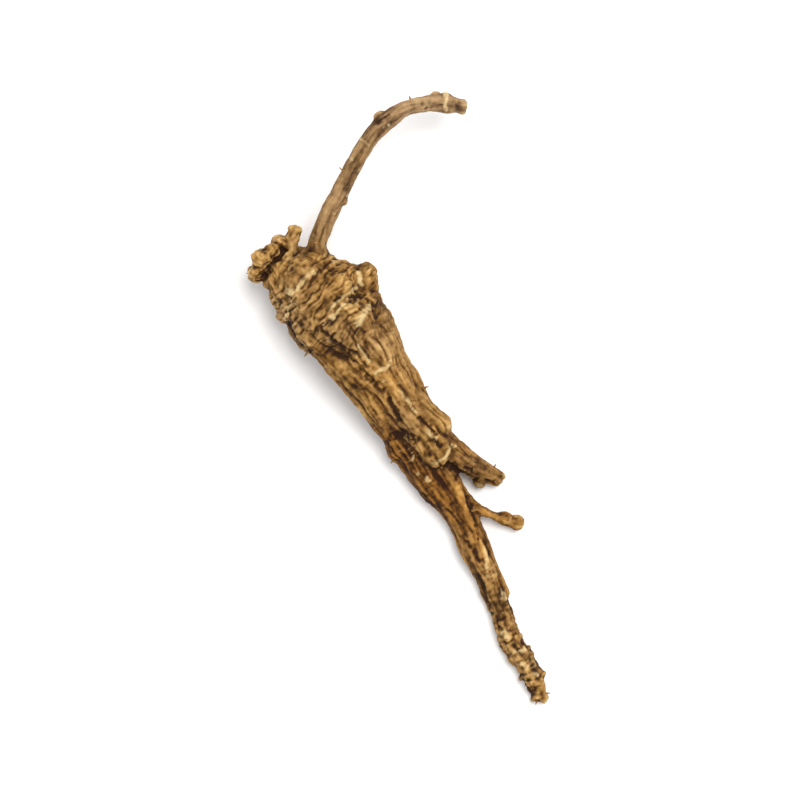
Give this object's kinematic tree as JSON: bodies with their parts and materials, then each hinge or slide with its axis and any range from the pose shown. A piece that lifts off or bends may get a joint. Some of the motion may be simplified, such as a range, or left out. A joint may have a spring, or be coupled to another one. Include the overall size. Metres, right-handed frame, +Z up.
{
  "type": "ginseng root",
  "caption": "Dried ginseng root with a knobbly neck, a thick ringed head, a wrinkled body, a forking leg that thins to a tail, and a long thin root rising from the shoulder.",
  "frame": {"origin": "middle of the plan at the height of the surface it lies on", "axes": "+Z up from the surface, +Y along the root from the tail end towards the neck and the thin root, +X to the side the broken side root points"},
  "size_m": [0.036, 0.0726, 0.0108],
  "materials": {
    "root_skin": "dry, wrinkled, matt root skin, yellowish brown with darker creases"
  },
  "bodies": {
    "root": {"ginseng_root": "root_skin"}
  },
  "joints": []
}
